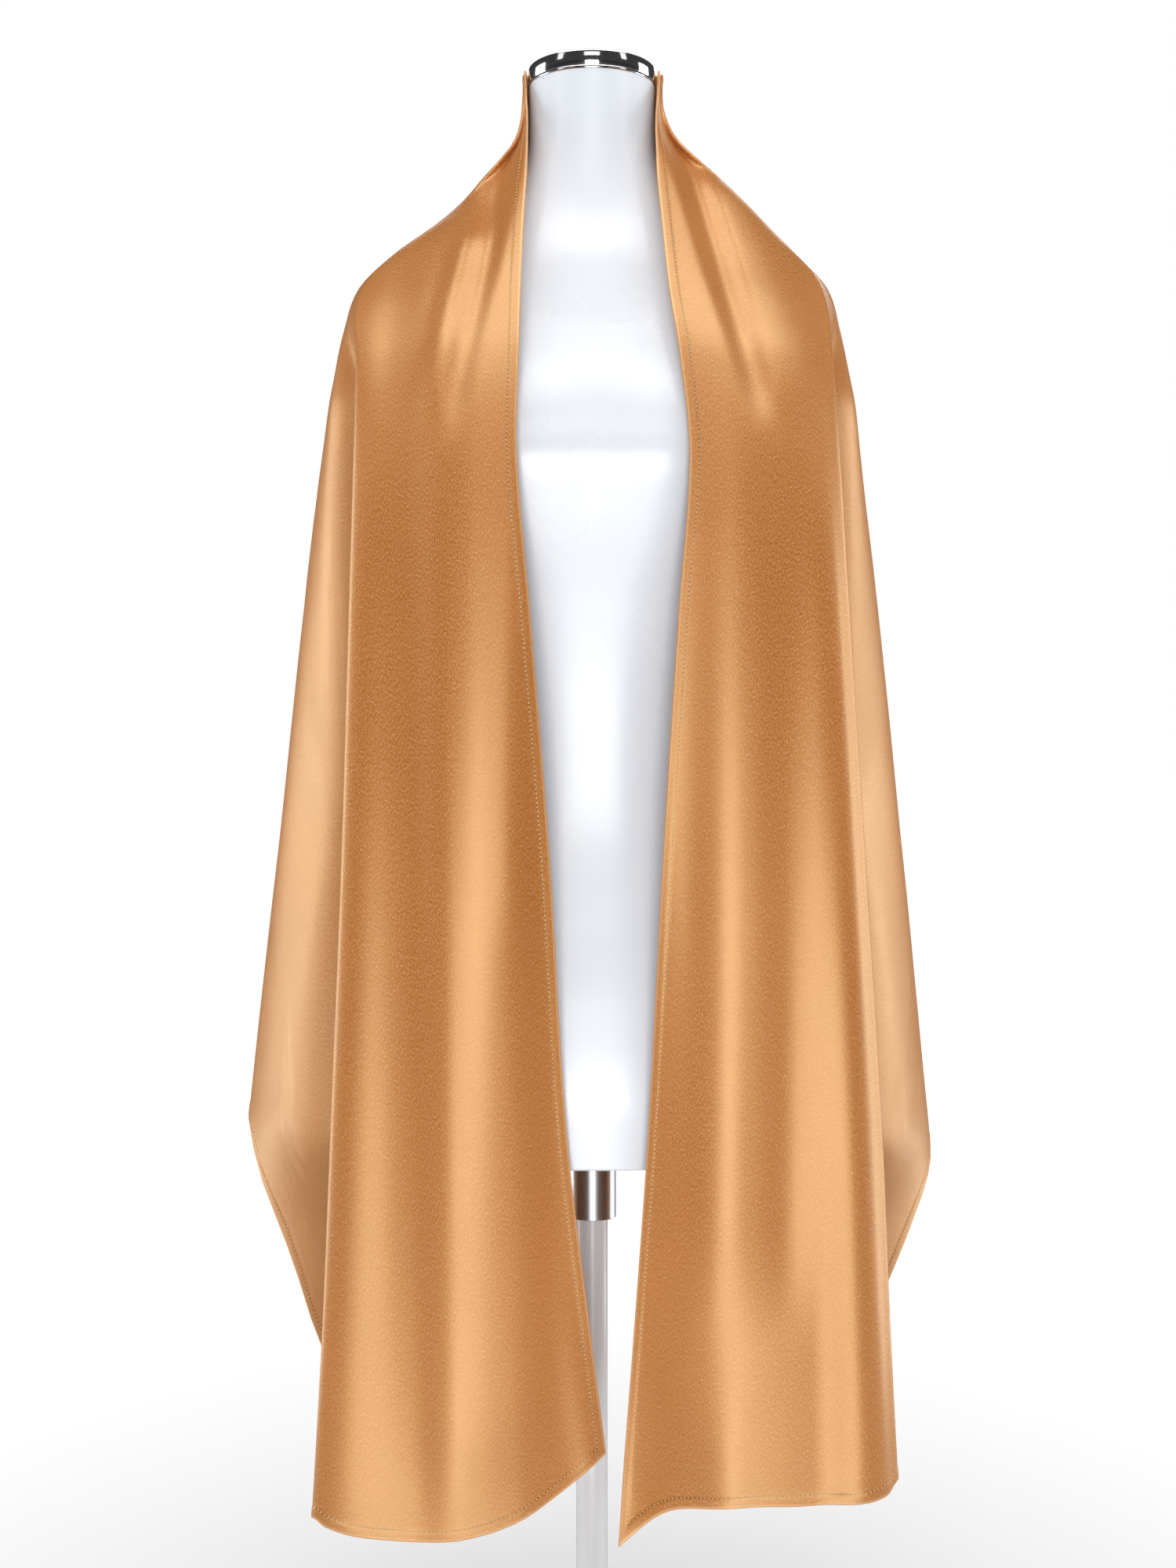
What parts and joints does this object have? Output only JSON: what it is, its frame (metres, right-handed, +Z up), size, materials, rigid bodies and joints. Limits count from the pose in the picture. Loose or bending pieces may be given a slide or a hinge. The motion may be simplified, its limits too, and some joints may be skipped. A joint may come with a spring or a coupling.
{
  "type": "evening stole on a dress form",
  "caption": "Long satin stole worn round the neck and shoulders of a smooth limbless dress form on a pole and round base.",
  "frame": {"origin": "on the floor at the centre of the base's underside, under the neck", "axes": "+Z up along the pole and neck, -Y out of the front of the form, +X to the right of the front view"},
  "size_m": [0.5027, 0.31, 1.1561],
  "materials": {
    "satin": "copper satin with a soft sheen",
    "form_gloss": "high gloss cool white",
    "band_metal": "polished",
    "socket_metal": "satin",
    "stand_lacquer": "white lacquer"
  },
  "bodies": {
    "root": {"stole": "satin", "form_body": "form_gloss", "neck_band": "band_metal", "neck_plate": "band_metal", "pole_socket": "socket_metal", "stand_pole": "stand_lacquer", "stand_base": "stand_lacquer"}
  },
  "joints": []
}
